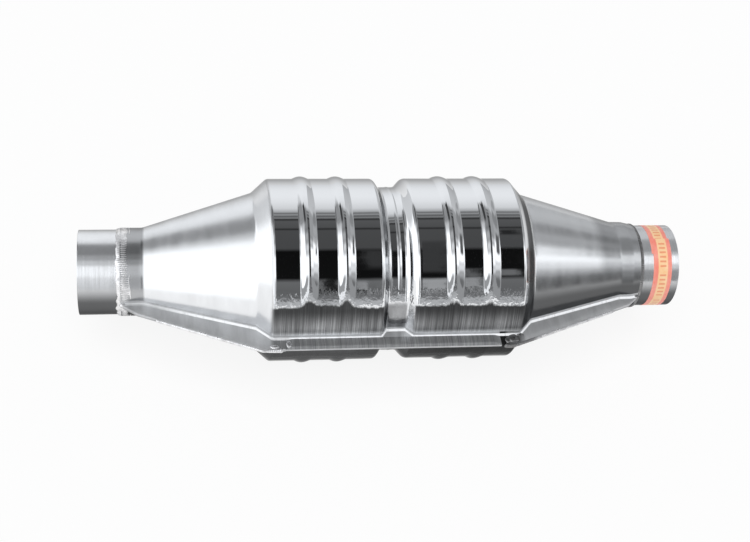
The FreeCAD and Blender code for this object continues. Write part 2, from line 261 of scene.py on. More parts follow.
def section_places(line):
    """The X of each cross-section: each bend's points, the ends of the fold, and steps between them."""
    fixed = set(np.round(line[:, 0], 3))
    for x, way in ((fold_start, 1), (fold_end, -1)):
        fixed |= {round(x, 3), round(x + way * FOLD_STEP, 3)}
        fixed |= {round(x + way * fold_ramp * share, 3) for share in FOLD_SHARES}
    fixed = sorted(fixed)
    ribs = rib_places()
    places = [fixed[0]]
    for x in fixed[1:]:
        while True:
            at = places[-1]
            near_rib = min(abs(at - rib) for rib in ribs) < rib_width / 2 + RIB_MARGIN
            near_rib = near_rib or abs(at - groove_ridge[0]) < groove_ridge[1]
            on_body = inlet_shoulder < at < outlet_shoulder
            step = RIB_STEP if near_rib else BODY_STEP if on_body else CONE_STEP
            if x - at < step * STEP_SLACK:
                break
            places.append(at + step)
        if x - places[-1] > LEAST_STEP:
            places.append(x)
    return np.array(places)


def rib_rise(x, angle):
    """How far the ribs stand up from the chamber at x and at an angle from the flange's plane."""
    fade = smooth(math.radians(rib_fade_start), math.radians(rib_fade_end), angle)
    total = np.zeros(np.broadcast(x, angle).shape)
    for place in rib_places():
        away = np.minimum(np.abs(x - place) / (rib_width / 2), 1)
        total += rib_height * (1 - away**2) ** rib_sharpness * fade
    place, width, height = groove_ridge
    away = np.minimum(np.abs(x - place), width / 2)
    return total + height * np.cos(math.pi * away / width) ** 2 * fade


def noise_field(points, size, seed):
    """Smooth noise from -1 to 1 at the points, with features of about the given size."""
    offset = Vector((seed * 17.3, seed * 5.1, seed * 9.7))
    flat = points.reshape(-1, 3) / size
    values = [noise.noise(Vector(p) + offset) for p in flat]
    return np.array(values).reshape(points.shape[:-1])


def sheet_waves(x, angle, seed):
    """The slight unevenness of the pressed sheet: gentle on the chambers and cones, more by the flange."""
    points = np.stack(np.broadcast_arrays(x, angle * chamber_radius, 0 * x), axis=-1)
    broad = noise_field(points * [1, 0.5, 1], broad_wave_size, seed)
    fine = noise_field(points * [1, 0.6, 1], fine_wave_size, seed + 1)
    low_wall = 1 - smooth(math.radians(18), math.radians(32), angle)
    crumple = 1 - smooth(math.radians(26), math.radians(44), angle)
    rising = smooth(math.radians(3), math.radians(9), angle)
    on_chamber = smooth(inlet_chamber_start, inlet_chamber_start + 4, x)
    on_chamber = on_chamber * (1 - smooth(outlet_chamber_end - 4, outlet_chamber_end, x))
    waves = (broad_wave + chamber_wave * low_wall * on_chamber) * broad
    return (waves + (fine_wave + crumple_wave * crumple) * fine) * rising


def grid_points(columns):
    """A grid of points from its columns, each of (x, y, z) with a value or one for each row."""
    return np.stack([np.stack(np.broadcast_arrays(*column), -1) for column in columns], 1)


def half_sections(xs, seed):
    """The outer and inner faces of one half pressing at each x, as arrays of (x, y, z) on the +Y side.

    Each goes from the flange's edge to the crown, and both have the same number of points.
    """
    line = casing_line()
    along = np.diff(line, axis=0)
    normals = np.stack([-along[:, 1], along[:, 0]], 1) / np.linalg.norm(along, axis=1, keepdims=True)
    normals = np.vstack([normals[:1], normals[:-1] + normals[1:], normals[-1:]])
    normals /= np.linalg.norm(normals, axis=1, keepdims=True)
    r, nx, nr = [np.interp(xs, line[:, 0], column) for column in (line[:, 1], *normals.T)]
    e = flange_edge(xs)

    room = ((e - edge_round - least_flat) ** 2 - r**2 + sheet**2) / (2 * (r - sheet))
    f = np.clip(room, least_fillet, root_fillet)
    foot = np.sqrt(r**2 - sheet**2 + 2 * f * (r - sheet))
    low_angle = np.arcsin((sheet + f) / (r + f))

    outer = [(xs, e, 0)]
    for angle in np.radians([0, 45, 90]):
        outer.append((xs, e - edge_round * (1 - math.cos(angle)), sheet - edge_round * (1 - math.sin(angle))))
    for share in (0.3, 0.6, 0.85):
        outer.append((xs, e - edge_round + (foot - e + edge_round) * share, sheet))
    for step in range(FILLET_STEPS):
        turn = -math.pi / 2 - (math.pi / 2 - low_angle) * step / FILLET_STEPS
        outer.append((xs, foot + f * np.cos(turn), sheet + f + f * np.sin(turn)))
    inner_radius, inner_x = r - sheet * nr, xs - sheet * nx
    inner = []
    for share in np.arange(len(outer)) / len(outer):
        inner.append((xs + (inner_x - xs) * share, e + (inner_radius - e) * share, 0))
    for share in np.linspace(0, 1, WALL_STEPS + 1):
        angle = low_angle + (math.pi / 2 - low_angle) * share
        rise = rib_rise(xs, angle) + sheet_waves(xs, angle, seed)
        wall = r + nr * rise
        outer.append((xs + nx * rise, wall * np.cos(angle), wall * np.sin(angle)))
        angle = math.pi / 2 * share
        rise = rib_rise(xs, angle)
        wall = inner_radius + nr * rise
        inner.append((inner_x + nx * rise, wall * math.cos(angle), wall * math.sin(angle)))
    return grid_points(outer), grid_points(inner)


def both_sides(half, xs):
    """The whole outer and inner faces of a half shell, from the far flange over the crown to the near one."""
    near_seed, far_seed = shell_seeds[half]
    far_outer, far_inner = half_sections(xs, far_seed)
    near_outer, near_inner = half_sections(xs, near_seed)
    crown = (far_outer[:, -1:] + near_outer[:, -1:]) / 2
    blend = smooth(0, 1, np.linspace(0, 1, CROWN_STEPS))[None, :, None]
    far_outer[:, -CROWN_STEPS:] += (crown - far_outer[:, -1:]) * blend
    near_outer[:, -CROWN_STEPS:] += (crown - near_outer[:, -1:]) * blend
    outer = np.concatenate([far_outer, (near_outer * OTHER_SIDE)[:, -2::-1]], 1)
    inner = np.concatenate([far_inner, (near_inner * OTHER_SIDE)[:, -2::-1]], 1)
    return outer, inner


def grid_faces(rows, columns, closed=False):
    """The quads of a grid whose rows are closed loops. A closed grid joins its last row to its first."""
    faces = []
    for i in range(rows if closed else rows - 1):
        for j in range(columns):
            a, b = i * columns + j, i * columns + (j + 1) % columns
            c = ((i + 1) % rows) * columns
            faces.append((a, b, c + (j + 1) % columns, c + j))
    return faces


def bar_faces(rows, columns):
    """The quads of a bar, with a face at each end."""
    faces = grid_faces(rows, columns)
    faces.append(list(range(columns)))
    faces.append([(rows - 1) * columns + k for k in reversed(range(columns))])
    return faces


def add_object(name, data):
    """A new object in the scene."""
    thing = bpy.data.objects.new(name, data)
    bpy.context.scene.collection.objects.link(thing)
    return thing


def make_piece(node, suffix, points, faces, slot, material, sharp=35):
    """A closed mesh from points in millimetres, which takes a solid's place and rides on the one body."""
    mesh = bpy.data.meshes.new(node + suffix)
    mesh.from_pydata((np.asarray(points) * MM).tolist(), [], faces)
    work = bmesh.new()
    work.from_mesh(mesh)
    bmesh.ops.remove_doubles(work, verts=work.verts, dist=MERGE_DISTANCE * MM)
    bmesh.ops.recalc_face_normals(work, faces=work.faces)
    work.to_mesh(mesh)
    work.free()
    mesh.shade_smooth()
    mesh.set_sharp_from_angle(angle=math.radians(sharp))
    piece = add_object(node + suffix, mesh)
    mesh.materials.append(material)
    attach(piece, ROOT)
    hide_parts(node)
    return piece


def shell_piece(half, loops, across, turn, material):
    """A half shell from closed cross-section loops, closed at its two neck ends.

    Each loop goes across its outer face and round its fold in the given numbers of points, and back.
    """
    rows, columns = loops.shape[:2]
    faces = grid_faces(rows, columns)
    last = 2 * across + turn - 1
    for row, way in ((0, 1), (rows - 1, -1)):
        for j in range(across - 1):
            quad = [row * columns + k for k in (j, j + 1, last - 1 - j, last - j)]
            faces.append(quad[::way])
    make_piece(half + "_shell", "_pressing", loops.reshape(-1, 3), faces, "pressed_stainless", material)


def along_fold(xs):
    """Which cross-sections lie along the fold."""
    return (xs > fold_start + FOLD_STEP / 2) & (xs < fold_end - FOLD_STEP / 2)


def trimmed(faces, inside, reach):
    """Cuts the faces back to the given reach on each side, along the fold."""
    for face in faces:
        face[inside, :, 1] = np.clip(face[inside, :, 1], -reach, reach)


def upper_shell(xs, material):
    """The upper pressing. Its flange is trimmed back inside the fold of the lower one."""
    outer, inner = both_sides("upper", xs)
    trimmed((outer, inner), along_fold(xs), fold_edge - fold_bend_outer - fold_clearance)
    loops = np.concatenate([outer, inner[:, ::-1]], 1)
    shell_piece("upper", loops, outer.shape[1], 0, material)


def fold_path(xs, edge):
    """The fold of the lower flange at each x on the +Y side, from its under side round to the joint plane.

    Away from the fold all its points lie on the flange's edge.
    """
    bend_inner = fold_bend_outer - sheet
    bend_line = fold_edge - fold_bend_outer
    ramp = np.minimum((xs - fold_start) / fold_ramp, (fold_end - xs) / fold_ramp)
    top = sheet * (1 + np.clip(ramp, 0.02, 1))
    path = []
    for angle in np.radians(np.linspace(-90, 90, 13)):
        z = sheet / 2 + fold_bend_outer * math.sin(angle)
        path.append((bend_line + fold_bend_outer * math.cos(angle), np.minimum(z, top)))
    for share in (0.7, 0.35):
        path.append((fold_layer_edge + (bend_line - fold_layer_edge) * share, top))
    for angle in np.radians([0, 45, 90]):
        drop = edge_round * (1 - math.cos(angle))
        path.append((fold_layer_edge + edge_round * (1 - math.sin(angle)), np.maximum(top - drop, sheet)))
    path.append((fold_layer_edge, sheet))
    for angle in np.radians([90, 45, 0, -45, -90]):
        path.append((bend_line + bend_inner * math.cos(angle), sheet / 2 + bend_inner * math.sin(angle)))
    folded = grid_points([(xs, y, z) for y, z in path])
    inside = along_fold(xs)
    folded[~inside] = np.stack([xs, edge, 0 * xs], -1)[~inside][:, None]
    return folded


def lower_shell(xs, material):
    """The lower pressing, upside down from the upper one, with its flange folded over along the chambers."""
    outer, inner = both_sides("lower", xs)
    outer[:, :, 2] *= -1
    inner[:, :, 2] *= -1
    fold = fold_path(xs, flange_edge(xs))
    inside = along_fold(xs)
    trimmed((outer, inner), inside, fold_edge - fold_bend_outer)
    # The edge's rounding lies flat inside the fold, where the sheet goes on into the bend
    for j in (0, 1, 2, -1, -2, -3):
        outer[inside, j, 2] = -sheet
    loops = np.concatenate([outer, fold * OTHER_SIDE, inner[:, ::-1], fold[:, ::-1]], 1)
    shell_piece("lower", loops, outer.shape[1], fold.shape[1], material)


def lathe(profiles):
    """Points and faces of a ring round X, from closed profiles of (x, radius) at even turns."""
    profiles = np.asarray(profiles)
    count = len(profiles)
    angles = np.linspace(0, 2 * math.pi, count, endpoint=False)
    y = profiles[:, :, 1] * np.cos(angles)[:, None]
    z = profiles[:, :, 1] * np.sin(angles)[:, None]
    points = np.stack([profiles[:, :, 0], y, z], -1)
    return points.reshape(-1, 3), grid_faces(count, profiles.shape[1], closed=True)


# Pipe stubs. Each is sized down inside its neck, up to a little outside the neck's end.
outward = {"inlet": -1, "outlet": 1}
neck_at = {"inlet": neck_start, "outlet": neck_end}
pipe_wall = 1.5
stub_insertion = 12
stub_sizing = 0.5
sized_past_neck = {"inlet": 1.5, "outlet": 0.7}
sizing_run = 0.8
cut_bevel = 0.3
bevel_middle = 0.3
beside_bend = 0.4
PIPE_STEPS = 180


def pipe(place, material):
    """A pipe stub, turned from its section, with a fine bevel at each edge of its cut end."""
    way = outward[place]
    sized_end = neck_at[place] + way * sized_past_neck[place]
    sized_start = sized_end + way * sizing_run
    inner_end = neck_at[place] - way * stub_insertion
    end = way * half_length
    bevel_start = end - way * cut_bevel
    bevel_on = end - way * cut_bevel * bevel_middle
    bore = pipe_radius - pipe_wall
    sized = pipe_radius - stub_sizing
    section = [
        (inner_end, sized - pipe_wall), (inner_end, sized), (sized_end, sized), (sized_start, pipe_radius),
        (sized_start + way * beside_bend, pipe_radius), (bevel_start - way * beside_bend, pipe_radius),
        (bevel_start, pipe_radius), (bevel_on, pipe_radius - cut_bevel * bevel_middle),
        (end, pipe_radius - cut_bevel), (end, bore + cut_bevel), (bevel_on, bore + cut_bevel * bevel_middle),
        (bevel_start, bore), (sized_start, bore), (sized_end, sized - pipe_wall),
    ]
    make_piece(place + "_pipe", "_stub", *lathe([section] * PIPE_STEPS), "tube_stainless", material, 50)


# Welds. A pipe bead's toe lies on the stub and its lap on the neck.
pipe_beads = {
    "inlet": {"toe": -190, "lap": -180.4, "crown": 0.1, "seed": 31},
    "outlet": {"toe": 189.2, "lap": 186, "crown": 0.3, "seed": 37},
}
bead_lump_size = 9
bead_swell = 0.06
bead_wander = 0.5
bead_wander_width = 2.8
bead_sunk = 0.3
lap_sunk = 0.4
ripple_pitch = 1.5
ripple_bow = 0.35
pipe_ripple_depth = 0.14
seam_ripple_depth = 0.13
seam_lump_size = 2.6
seam_lump = 0.13
seam_seeds = {"inlet": 7, "outlet": 11}
seam_bead_radius = 1.3
corner_bead_radius = 1.8
# How far from the fold's end the corner's thicker bead goes over into the seam's
corner_bead_reach = (6, 12)
seam_bead_from_fold = 1.6
seam_bead_from_neck = 14
# Lumps of weld on the flange by the fold's ends: middle, and reach along X, Y and Z
corner_lumps = {
    "inlet": [((-73.4, 72.3, 2.7), (2, 3, 0.8)), ((-83, 73.6, 1.6), (3.2, 1.6, 0.9))],
    "outlet": [((85, 70.6, 1.7), (4.6, 3.6, 1.5)), ((80.8, 72, 1.6), (2.2, 2.6, 1.1)),
               ((90.6, 67.2, 1.6), (2.6, 1.2, 0.9))],
}
lump_roughness = 0.18
lump_seed = 9
# Tacks that close the flanges' ends: distance into the neck, out from it and up, and reach along X, Y and Z
tack_place = (1.6, 1.2, 0.4)
tack_size = (2.4, 1.4, 1.9)
tack_seed = 5
BEAD_STEPS = 900
BEAD_ACROSS = 12
SEAM_STEP = 0.22
SEAM_AROUND = 14


def bead_ripple(arc, across, depth):
    """How high a bead stands, scalloped in one crescent for each step that the torch made."""
    phase = arc / ripple_pitch + ripple_bow * (1 - across**2)
    return 1 - depth + depth * np.abs(np.sin(math.pi * phase))


def pipe_bead(place):
    """The bead between a stub and its neck, rippled and a little uneven."""
    bead = pipe_beads[place]
    toe, lap = bead["toe"], bead["lap"]
    sized = pipe_radius - stub_sizing
    middle, half_width = (toe + lap) / 2, (lap - toe) / 2
    arc = np.linspace(0, 2 * math.pi, BEAD_STEPS, endpoint=False) * neck_radius
    spots = [Vector((bead["seed"], at / bead_lump_size, 0)) for at in arc]
    swell = 1 + bead_swell * np.array([[noise.noise(spot)] for spot in spots])
    wander = np.array([[noise.noise(spot * 2.3)] for spot in spots]) * abs(half_width) / bead_wander_width
    turns = np.linspace(0, math.pi, BEAD_ACROSS)
    across = np.cos(turns)
    x = middle + bead_wander * wander + half_width * swell * across
    under = sized + (neck_radius - sized) * (1 + across) / 2
    ripple = bead_ripple(arc[:, None], across, pipe_ripple_depth)
    height = (neck_radius + bead["crown"] - under) * np.sin(turns) * swell * ripple
    foot = [(lap, neck_radius - lap_sunk), (neck_at[place], sized - bead_sunk), (toe, sized - bead_sunk)]
    foot = np.broadcast_to(foot, (BEAD_STEPS, 3, 2))
    return lathe(np.concatenate([np.stack([x, under + height], -1), foot], 1))


def bead_mesh(path, radii, seed):
    """A rippled bar with round ends along a level path."""
    steps = np.linalg.norm(np.diff(path, axis=0), axis=1)
    arc = np.concatenate([[0], np.cumsum(steps)])
    ticks = np.arange(0, arc[-1], SEAM_STEP)
    line = np.stack([np.interp(ticks, arc, path[:, k]) for k in range(3)], 1)
    radius = np.interp(ticks, arc, radii)
    along = np.gradient(line, axis=0)
    along /= np.linalg.norm(along, axis=1, keepdims=True)
    side = np.cross(along, Z_UP)
    from_end = np.minimum(ticks, arc[-1] - ticks)
    round_end = np.sqrt(np.clip(1 - (1 - np.clip(from_end / radius, 0, 1)) ** 2, 0.0004, 1))
    turns = np.linspace(0, 2 * math.pi, SEAM_AROUND, endpoint=False)
    across, up = np.cos(turns)[:, None], np.sin(turns)[:, None]
    spots = [Vector((tick / seam_lump_size, seed, 0)) for tick in ticks]
    lump = 1 + seam_lump * np.array([noise.noise(spot) for spot in spots])
    ripple = bead_ripple(ticks[:, None], np.cos(turns), seam_ripple_depth)
    reach = (radius * round_end)[:, None] * np.minimum(lump[:, None] * ripple, 1)
    points = line[:, None] + reach[..., None] * (across * side[:, None] + up * Z_UP)
    return points.reshape(-1, 3), bar_faces(len(line), SEAM_AROUND)


def blob_mesh(centre, radii, seed):
    """A small uneven lump of weld metal."""
    work = bmesh.new()
    bmesh.ops.create_icosphere(work, subdivisions=3, radius=1)
    points = []
    for v in work.verts:
        grow = 1 + lump_roughness * noise.noise(v.co * 1.7 + Vector((seed, 0, 0)))
        points.append([c + r * p * grow for c, r, p in zip(centre, radii, v.co)])
    faces = [[v.index for v in face.verts] for face in work.faces]
    work.free()
    return np.array(points), faces


def joined(meshes):
    """Several lists of points and faces as one."""
    points, faces, first = [], [], 0
    for some_points, some_faces in meshes:
        points.append(some_points)
        faces += [[first + k for k in face] for face in some_faces]
        first += len(some_points)
    return np.concatenate(points), faces


def seam_weld(side, place, material):
    """The bead from the end of the fold round the flange's corner and down the cone."""
    corners = [np.array(corner) for corner in flange_corners()]
    corner, neck_corner = (corners[2], corners[1]) if place == "inlet" else (corners[3], corners[4])
    fold_x = fold_start if place == "inlet" else fold_end
    first = (fold_x + outward[place] * seam_bead_from_fold, corner[1])
    last = neck_corner - seam_bead_from_neck * unit(neck_corner - corner)
    path = rounded_line([first, corner, last], [0, flange_corner_radius, 0])
    line = np.stack([path[:, 0], side * path[:, 1], 0 * path[:, 0]], 1)
    corner_share = 1 - smooth(*corner_bead_reach, np.abs(path[:, 0] - fold_x))
    radii = seam_bead_radius + (corner_bead_radius - seam_bead_radius) * corner_share
    meshes = [bead_mesh(line, radii, 3 * side + seam_seeds[place])]
    for (x, y, z), size in corner_lumps[place]:
        meshes.append(blob_mesh((x, side * y, z), size, lump_seed * side))
    name = ("near_" if side < 0 else "far_") + place + "_seam_weld"
    make_piece(name, "_bead", *joined(meshes), "weld_metal", material, 70)


def pipe_weld(place, material):
    """A stub's weld, with the tacks that close the flanges' ends beside it."""
    into_neck, from_neck, height = tack_place
    meshes = [pipe_bead(place)]
    for side in (-1, 1):
        centre = (neck_at[place] - outward[place] * into_neck, side * (neck_radius + from_neck), height)
        meshes.append(blob_mesh(centre, tack_size, tack_seed * side))
    make_piece(place + "_pipe_weld", "_bead", *joined(meshes), "weld_metal", material, 70)


# Bricks
cell_pitch = 1.8
cell_wall = 0.28
brick_skin = 1.2
skin_lip = 0.05
skin_overlap = 0.1
SKIN_STEPS = 240


def channels(core, ends):
    """The walls and end faces of square channels right through a round core, between two values of X."""
    reach = int(core / cell_pitch) + 2
    half_channel = (cell_pitch - cell_wall) / 2
    edges = (-half_channel, half_channel)
    lines = [k * cell_pitch + edge for k in range(-reach, reach + 1) for edge in edges]
    count = len(lines)
    yy, zz = np.meshgrid(lines, lines, indexing="ij")
    distance = np.hypot(yy, zz)
    pull = np.minimum(1, core / np.maximum(distance, 1e-6))
    yy, zz = yy * pull, zz * pull
    within = distance < core
    points = np.concatenate([np.stack([np.full(yy.size, x), yy.ravel(), zz.ravel()], 1) for x in ends])
    back = yy.size
    faces = []
    for i in range(count - 1):
        for j in range(count - 1):
            quad = [i * count + j, (i + 1) * count + j, (i + 1) * count + j + 1, i * count + j + 1]
            inside = [within.flat[k] for k in quad]
            if not any(inside):
                continue
            if i % 2 == 0 and j % 2 == 0 and all(inside):
                for a, b in zip(quad, quad[1:] + quad[:1]):
                    faces.append((a, b, b + back, a + back))
            else:
                faces.append(tuple(quad))
                faces.append(tuple(k + back for k in reversed(quad)))
    return points, faces


def honeycomb(name, material):
    """A brick whose square channels go right through, inside a round skin."""
    low, high = brick_boxes[name]
    radius = high.y
    core = radius - brick_skin
    skin_start, skin_end = low.x - skin_lip, high.x + skin_lip
    section = [
        (skin_start, core - skin_overlap), (skin_start, radius),
        (skin_end, radius), (skin_end, core - skin_overlap),
    ]
    meshes = [channels(core, (low.x, high.x)), lathe([section] * SKIN_STEPS)]
    make_piece(name, "_honeycomb", *joined(meshes), "coated_ceramic", material)


# Label
label_thickness = 0.11
label_gap = 0.004
label_width = 13.8
label_end_margin = 6.6
label_lap_start = 93
label_lap = 24
label_lap_ramp = 4
label_shift = 1.1
LABEL_STEPS = 384
LABEL_ACROSS = 8


def label(material):
    """A printed strip round the outlet stub, wound as a slight helix, so its lapped end lies out of line."""
    shares = np.linspace(0, 1, LABEL_ACROSS + 1)
    shares = np.concatenate([shares, shares[::-1]])
    upper = np.repeat([0, 1], LABEL_ACROSS + 1)
    turned = np.linspace(0, 360 + label_lap, LABEL_STEPS)[:, None]
    angle = np.radians(label_lap_start + turned)
    start_x = half_length - label_end_margin - label_width + label_shift * (1 - turned / 360)
    lift = label_thickness * (1 - smooth(label_lap - label_lap_ramp, label_lap + label_lap_ramp, turned))
    radius = pipe_radius + label_gap + lift + upper * (label_thickness - 2 * label_gap)
    points = np.stack([start_x + label_width * shares, radius * np.cos(angle), radius * np.sin(angle)], -1)
    faces = bar_faces(*points.shape[:2])
    piece = make_piece("outlet_label", "_strip", points.reshape(-1, 3), faces, "label_paper", material, 50)
    for name, values in (("across", shares), ("along", np.radians(turned) * pipe_radius)):
        layer = piece.data.attributes.new(name, "FLOAT", "POINT")
        layer.data.foreach_set("value", np.broadcast_to(values, radius.shape).ravel())


class Graph:
    """Adds shader nodes to one node tree. An input may be a value or another node's output."""

    def __init__(self, tree):
        self.tree = tree
        tree.nodes.clear()

    def add(self, kind, inputs=None, **settings):
        node = self.tree.nodes.new("ShaderNode" + kind)
        for name, value in settings.items():
            setattr(node, name, value)
        for key, value in (inputs or {}).items():
            if isinstance(value, bpy.types.NodeSocket):
                self.tree.links.new(value, node.inputs[key])
            else:
                node.inputs[key].default_value = value
        return node

    def math(self, operation, a, b=0):
        return self.add("Math", {0: a, 1: b}, operation=operation).outputs[0]

    def times(self, value, *others):
        for other in others:
            value = self.math("MULTIPLY", value, other)
        return value

    def plus(self, a, b):
        return self.math("ADD", a, b)

    def rest(self, share):
        return self.math("SUBTRACT", 1, share)

    def span(self, value, low, high, to_low=0, to_high=1):
        """A value that goes softly from one level to another as the given one goes from low to high."""
        inputs = {"Value": value, "From Min": low, "From Max": high, "To Min": to_low, "To Max": to_high}
        return self.add("MapRange", inputs, interpolation_type="SMOOTHSTEP").outputs[0]

    def span_mm(self, place, low, high, to_low=0, to_high=1):
        """The same for a place or distance, with its limits in millimetres."""
        return self.span(place, low * MM, high * MM, to_low, to_high)

    def band(self, value, a, b, c, d):
        """A share that rises from a to b and falls again from c to d."""
        return self.times(self.span(value, a, b), self.span(value, c, d, 1, 0))

    def band_mm(self, place, *limits):
        return self.band(place, *[limit * MM for limit in limits])

    def window(self, value, low, high, soft):
        """A share of 1 from low to high, with soft ends."""
        return self.band(value, low - soft, low + soft, high - soft, high + soft)

    def mix(self, share, a, b):
        return self.add("Mix", {0: share, 6: a, 7: b}, data_type="RGBA").outputs[2]

    def mix_values(self, share, a, b):
        return self.add("Mix", {0: share, 2: a, 3: b}).outputs[0]

    def ramp(self, value, stops):
        node = self.add("ValToRGB", {0: value})
        elements = node.color_ramp.elements
        elements[0].position, elements[1].position = stops[0][0], stops[-1][0]
        for place, _ in stops[1:-1]:
            elements.new(place)
        for element, (_, shade) in zip(elements, stops):
            element.color = shade
        return node.outputs[0]

    def shades(self, value, a, b, low=0.3, high=0.7):
        """A colour that goes from a to b as the value goes from low to high."""
        return self.ramp(value, [(low, a), (high, b)])

    def greys(self, value, a, b, low=0.3, high=0.7):
        return self.shades(value, grey(a), grey(b), low, high)

    def noise(self, vector, scale, detail=3, roughness=0.55):
        inputs = {"Vector": vector, "Scale": scale, "Detail": detail, "Roughness": roughness}
        return self.add("TexNoise", inputs).outputs[0]

    def stretched(self, vector, scale):
        return self.add("Mapping", {"Vector": vector, "Scale": scale}).outputs[0]

    def place(self):
        return self.add("TexCoord").outputs["Object"]

    def parts(self, vector):
        return self.add("SeparateXYZ", {0: vector}).outputs

    def bump(self, height, distance, strength=1, **under):
        inputs = {"Height": height, "Distance": distance * MM, "Strength": strength, **under}
        return self.add("Bump", inputs).outputs[0]


def grey(level):
    """A cool neutral shade, as bright steel has it."""
    return (level * 0.985, level, level * 1.02, 1)


def rgb(red, green, blue):
    """An opaque colour."""
    return (red, green, blue, 1)


def new_material(name):
    """The empty graph of a new material."""
    material = bpy.data.materials.new(name)
    material.use_nodes = True
    g = Graph(material.node_tree)
    g.material = material
    return g


# What a metal surface keeps of its light where it is seen nearly edge on
metal_edge = rgb(0.4, 0.4, 0.4)


def finish(g, colour, roughness, normal, **more):
    """Ends a material's graph in a surface, and gives the material."""
    inputs = {"Base Color": colour, "Roughness": roughness, "Normal": normal, **more}
    shader = g.add("BsdfPrincipled", inputs)
    g.add("OutputMaterial", {"Surface": shader.outputs[0]})
    return g.material


def finish_metal(g, colour, roughness, normal, metallic=1):
    """Ends a metal's graph, and gives the material."""
    return finish(g, colour, roughness, normal, **{"Metallic": metallic, "Specular Tint": metal_edge})


def underside_shade_share(g, z, start, end):
    """How much painted shade a point gets on its under side, by its height in millimetres."""
    return g.span_mm(z, start, end, 0, 0.88)


def casing_radius(g, x):
    """The radius of the casing at x."""
    length = neck_end - neck_start
    share = g.math("DIVIDE", g.math("SUBTRACT", x, neck_start * MM), length * MM)
    stops = [((a - neck_start) / length, (r / 100, r / 100, r / 100, 1)) for a, r, _ in casing_corners()]
    return g.times(g.ramp(share, stops), 100 * MM)


# Finish of the pressings. The mirror's ragged border lies at an angle from the joint plane, in degrees,
# and sinks along X. The rest are distances: heights, and reaches out from the wall.
mirror_border = 18.1
border_slope = -0.007
border_teeth = 2.2
border_sway = 6
# Painted shade and light on the scratched band: the heights where it is darkest and lightest, and where its
# lighter foot starts and is full
painted_shade_above, painted_light_below = 24, 6
foot_light_top, foot_light_full = 7.5, 3
flange_heights = (-2.5, -1.7, 3.2, 4)
fold_top = (1, 1.4)
# Painted highlight along the flange's root: its reach out from the wall, and how much it dims by the fold's
# inlet end
root_highlight_reach = (0.2, 0.7, 2.2, 2.4)
root_highlight_dim = 0.6
groove_shade_until = (9.5, 8)
scrape_depth = (1.6, 0.6)
shadow_fade = (3, 7)
mirror_level, mirror_roughness = 0.86, 0.035


def sheet_zones(g):
    """Where a point of a pressing lies: its place, the marks there, and its share in each zone."""
    at = SimpleNamespace(place=g.place())
    at.x, y, at.z = g.parts(at.place)
    at.height = g.math("ABSOLUTE", at.z)
    at.beside = g.math("ABSOLUTE", y)
    _, across, up = g.parts(g.add("NewGeometry").outputs["Normal"])
    steepness = g.math("ARCTAN2", g.math("ABSOLUTE", up), g.math("ABSOLUTE", across))
    at.angle = g.math("DEGREES", g.math("MINIMUM", g.math("ARCTAN2", at.height, at.beside), steepness))
    at.scratches = g.noise(g.stretched(at.place, (1150, 14, 14)), 1, 5, 0.7)
    at.coarse = g.noise(g.stretched(at.place, (420, 9, 9)), 1, 3, 0.6)
    at.grain = g.noise(g.stretched(at.place, (120, 30, 30)), 1, 4, 0.6)
    at.streaks = g.times(g.span(at.scratches, 0.3, 0.7, 0.25, 1.15), g.span(at.coarse, 0.3, 0.7, 0.55, 1))

    start, end = inlet_chamber_start - 3, outlet_chamber_end + 1
    at.body = g.band_mm(at.x, start, start + 4, end, end + 3)
    teeth = g.times(g.plus(at.scratches, at.coarse), border_teeth)
    sway = g.plus(g.times(at.x, border_slope / MM), g.times(g.noise(at.place, 28, 2), border_sway))
    border = g.plus(g.plus(mirror_border, teeth), sway)
    at.mirror = g.times(g.span(g.math("SUBTRACT", at.angle, border), -0.8, 0.8), at.body)
    radius = g.math("SQRT", g.plus(g.times(y, y), g.times(at.z, at.z)))
    at.scraped = g.times(at.body, g.span_mm(radius, *[chamber_radius - depth for depth in scrape_depth]))
    at.on_flange = g.band_mm(at.z, *flange_heights)
    at.from_wall = g.math("SUBTRACT", at.beside, casing_radius(g, at.x))
    return at


def wall_colour(g, at):
    """The casing's wall where it is no mirror: scratched by the tool low on the chambers, satin elsewhere,
    with painted shade and light on the scratched band, and painted shade in the groove, by the necks, low on
    the outlet cone and in its shoulder's root.
    """
    patches = g.span(g.noise(at.place, 22, 2), 0.35, 0.65, 0.55, 1.1)
    # Painted shade and light: the scratched band is darker high up and towards the outlet, and lighter at its
    # foot.
    painted_height_shade = g.times(g.span_mm(at.height, painted_shade_above, painted_light_below, 0.08, 0.95),
                       g.span_mm(at.x, -10, 30, 1, 0.5))
    foot = g.span_mm(at.height, foot_light_top, foot_light_full, 0, 0.6)
    dull = g.greys(g.plus(g.times(at.streaks, patches, painted_height_shade), foot), 0.03, 0.95, 0, 1)
    satin = g.greys(at.grain, 0.84, 0.92)
    # Painted shade on the floor of the waist groove.
    groove_shade = g.times(at.body, g.span(at.angle, 26, 20), g.rest(at.scraped),
                        g.span_mm(at.x, *groove_shade_until))
    satin = g.mix(groove_shade, satin, g.greys(at.grain, 0.26, 0.46))

    # Painted shade low on the outlet cone, on the inlet neck, from the outlet cone's end over its neck, and
    # in the outlet shoulder's root.
    low_cone_shade = g.times(g.span_mm(at.x, outlet_chamber_end - 2, outlet_chamber_end + 2),
                       g.span(at.angle, 46, 18, 0, 0.93), g.span_mm(at.from_wall, 0.6, 0.2))
    neck_shade = g.math("MAXIMUM", g.span_mm(at.x, neck_start + 15, neck_start + 17, 0.5, 0),
                     g.span_mm(at.x, neck_end - 37, neck_end - 28, 0, 0.35))
    shoulder_root_shade = g.times(g.band_mm(at.x, *[outlet_shoulder - reach for reach in (8, 5.5, 2, 0.5)]), 0.85)
    painted_wall_shade = g.math("MAXIMUM", g.math("MAXIMUM", low_cone_shade, shoulder_root_shade), neck_shade)
    return g.mix(painted_wall_shade, g.mix(at.scraped, satin, dull), grey(0.06))


